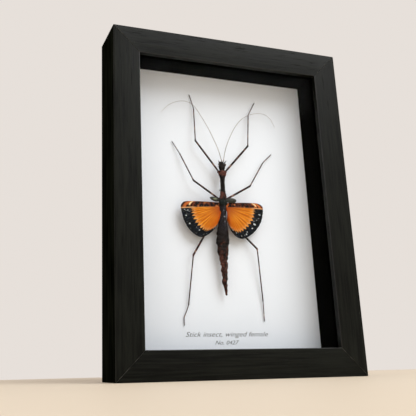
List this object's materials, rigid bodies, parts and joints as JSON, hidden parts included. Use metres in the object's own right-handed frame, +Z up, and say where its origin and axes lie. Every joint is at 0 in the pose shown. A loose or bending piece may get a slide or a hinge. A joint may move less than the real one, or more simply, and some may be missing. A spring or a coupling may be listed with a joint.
{
  "type": "framed insect specimen",
  "caption": "Deep black portrait frame with mitred corners and glass, holding a spread stick insect pinned on a white board.",
  "frame": {"origin": "middle of the underside of the bottom rail", "axes": "+Z up, +X to the right seen from the front, -Y out of the glass towards the viewer"},
  "size_m": [0.178, 0.0365, 0.24],
  "materials": {
    "black_wood": "black satin stain over fine grain",
    "clear_glass": "clear, polished",
    "black_liner": "matt black",
    "white_board": "matt white",
    "brown_hardboard": "matt brown hardboard",
    "zinc": "dull zinc plating",
    "dark_cuticle": "dry dark brown insect skin",
    "leg_cuticle": "dry red-brown insect skin with pale bands",
    "antenna_cuticle": "dry grey-brown insect skin",
    "orange_wing": "thin membrane, orange fan with a black border",
    "green_brown_wing": "leathery, dark green-brown"
  },
  "bodies": {
    "root": {"rail_bottom": "black_wood", "rail_left": "black_wood", "rail_top": "black_wood", "rail_right": "black_wood", "glass": "clear_glass", "liner_bottom": "black_liner", "liner_top": "black_liner", "liner_left": "black_liner", "liner_right": "black_liner", "mount_board": "white_board", "back_panel": "brown_hardboard", "back_tab_1": "zinc", "back_tab_2": "zinc", "back_tab_3": "zinc", "back_tab_4": "zinc", "back_tab_5": "zinc", "back_tab_6": "zinc", "hanger": "zinc", "hanger_nail_left": "zinc", "hanger_nail_right": "zinc", "body": "dark_cuticle", "front_leg_left": "leg_cuticle", "front_leg_right": "leg_cuticle", "middle_leg_left": "leg_cuticle", "middle_leg_right": "leg_cuticle", "hind_leg_left": "leg_cuticle", "hind_leg_right": "leg_cuticle", "antenna_left": "antenna_cuticle", "antenna_right": "antenna_cuticle", "hindwing_left": "orange_wing", "hindwing_right": "orange_wing", "forewing_left": "green_brown_wing", "forewing_right": "green_brown_wing", "pin_thorax": "zinc", "pin_abdomen": "zinc"}
  },
  "joints": []
}
